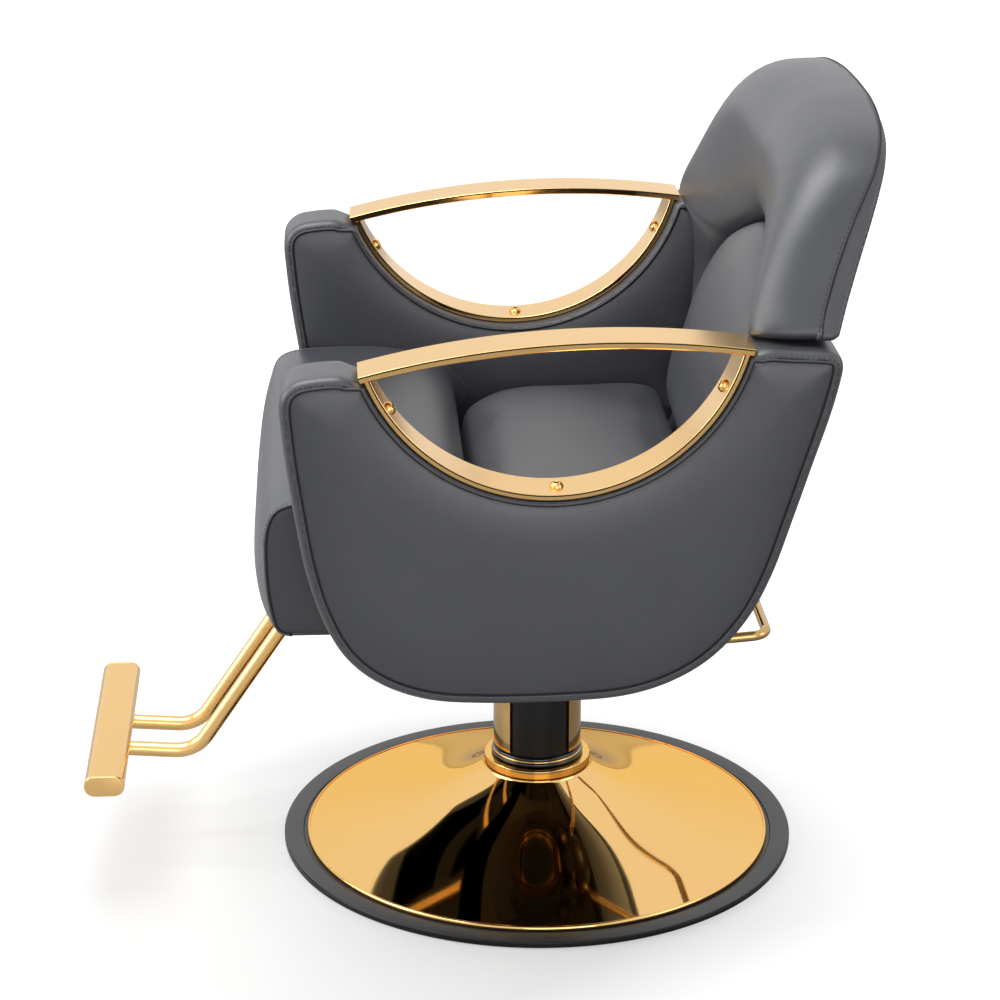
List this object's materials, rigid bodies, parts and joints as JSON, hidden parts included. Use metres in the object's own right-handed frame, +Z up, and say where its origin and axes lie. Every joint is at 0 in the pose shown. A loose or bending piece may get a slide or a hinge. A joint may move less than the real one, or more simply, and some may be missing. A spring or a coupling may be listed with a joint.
{
  "type": "salon chair",
  "caption": "Padded hairdressing chair on a flared round base, with a lifting and turning column, arched armrests, a foot pedal and a bar footrest.",
  "frame": {"origin": "centre of the base on the floor, on the column's axis, at the foot ring's underside", "axes": "+Z up along the column, +Y towards the chair's back and the pedal, +X to the left hand of someone seated"},
  "size_m": [0.654, 0.8115, 0.8396],
  "materials": {
    "gold_metal": "polished pale gold plating",
    "leather": "soft charcoal leather, matte",
    "black_metal": "black, semi-gloss",
    "plate_metal": "dark graphite, satin",
    "rubber": "matte",
    "steel": "plain, machined",
    "bronze": "machined",
    "plywood": "raw birch plywood"
  },
  "bodies": {
    "base": {"foot_ring": "rubber", "base_plate": "plate_metal", "base_cover": "gold_metal", "collar_ring": "gold_metal", "dust_seal": "rubber", "seal_trim": "gold_metal", "barrel": "black_metal", "barrel_bolts": "steel", "gland_bush": "bronze"},
    "lift": {"ram": "steel", "piston": "steel", "bearing_ring": "steel"},
    "chair": {"pump_sleeve": "gold_metal", "sleeve_screws": "gold_metal", "arm_bar_left": "gold_metal", "arm_bar_right": "gold_metal", "arm_band_left": "gold_metal", "arm_band_right": "gold_metal", "arm_screws_left": "gold_metal", "arm_screws_right": "gold_metal", "footrest_rods": "gold_metal", "footrest_bar": "gold_metal", "footrest_caps": "gold_metal", "front_roll": "leather", "seat_pad": "leather", "side_panel_left": "leather", "side_panel_right": "leather", "back_board": "leather", "arch_pad": "leather", "lumbar_cushion": "leather", "rear_panel": "leather", "pump_head": "black_metal", "side_rails": "black_metal", "cross_rails": "black_metal", "footrest_plate": "black_metal", "head_bolts": "steel", "pedal_pin": "steel", "plunger_spring": "steel", "top_plate": "steel", "plate_bolts": "steel", "side_bolts_left": "steel", "side_bolts_right": "steel", "back_studs": "steel", "footrest_bolts": "steel", "seat_board": "plywood", "side_board_left": "plywood", "side_board_right": "plywood"},
    "pedal_arm": {"pedal": "gold_metal"},
    "plunger_rod": {"plunger": "steel"}
  },
  "joints": [
    {"name": "lift_slide", "type": "slide", "parent": "base", "child": "lift", "axis": [0, 0, 1], "range_m": [0, 0.12]},
    {"name": "seat_swivel", "type": "hinge", "parent": "lift", "child": "chair", "pos_m": [0, 0, 0.29], "axis": [0, 0, 1], "continuous": true},
    {"name": "pedal_hinge", "type": "hinge", "parent": "chair", "child": "pedal_arm", "pos_m": [0, 0.062, 0.298], "axis": [-1, 0, 0], "range_deg": [0, 10], "stiffness_Nm_per_rad": 8, "springref_deg": -14.32},
    {"name": "plunger_slide", "type": "slide", "parent": "chair", "child": "plunger_rod", "axis": [0, 0, -1], "range_m": [0, 0.0036], "deforming": ["plunger_spring"]}
  ],
  "couplings": [
    {"joint": "plunger_slide", "follows": "pedal_hinge", "m_per_rad": 0.02}
  ]
}
